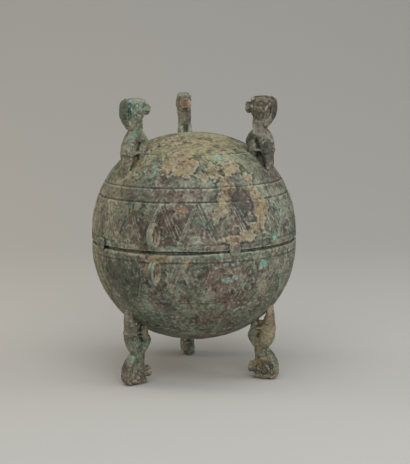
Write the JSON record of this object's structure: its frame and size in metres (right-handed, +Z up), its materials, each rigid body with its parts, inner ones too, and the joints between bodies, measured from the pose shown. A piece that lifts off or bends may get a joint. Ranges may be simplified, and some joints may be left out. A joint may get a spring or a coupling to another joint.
{
  "type": "lidded bronze dui vessel",
  "caption": "Near-spherical cast bronze food vessel in two halves, bowl and lid, each on upright creature-shaped legs and with ring lugs beside the level seam.",
  "frame": {"origin": "on the vessel's axis, on the surface that the feet stand on", "axes": "+Z up along the vessel's axis, -Y towards the front lugs, +X towards the right-hand legs"},
  "size_m": [0.2, 0.2432, 0.275],
  "materials": {
    "bowl_bronze": "cast bronze under old green-grey and olive corrosion",
    "lid_bronze": "cast bronze under red-brown, olive and buff corrosion with earth",
    "leg_bronze": "cast bronze, dark olive with pale malachite green",
    "ring_bronze": "cast bronze, grey-green corrosion"
  },
  "bodies": {
    "root": {"bowl": "bowl_bronze", "lid": "lid_bronze", "bowl_leg_right": "leg_bronze", "bowl_leg_front_left": "leg_bronze", "bowl_leg_rear_left": "leg_bronze", "lid_leg_right": "leg_bronze", "lid_leg_front_left": "leg_bronze", "lid_leg_rear_left": "leg_bronze", "bowl_ring_front": "ring_bronze", "bowl_ring_rear": "ring_bronze", "lid_ring_front": "ring_bronze", "lid_ring_rear": "ring_bronze"}
  },
  "joints": []
}
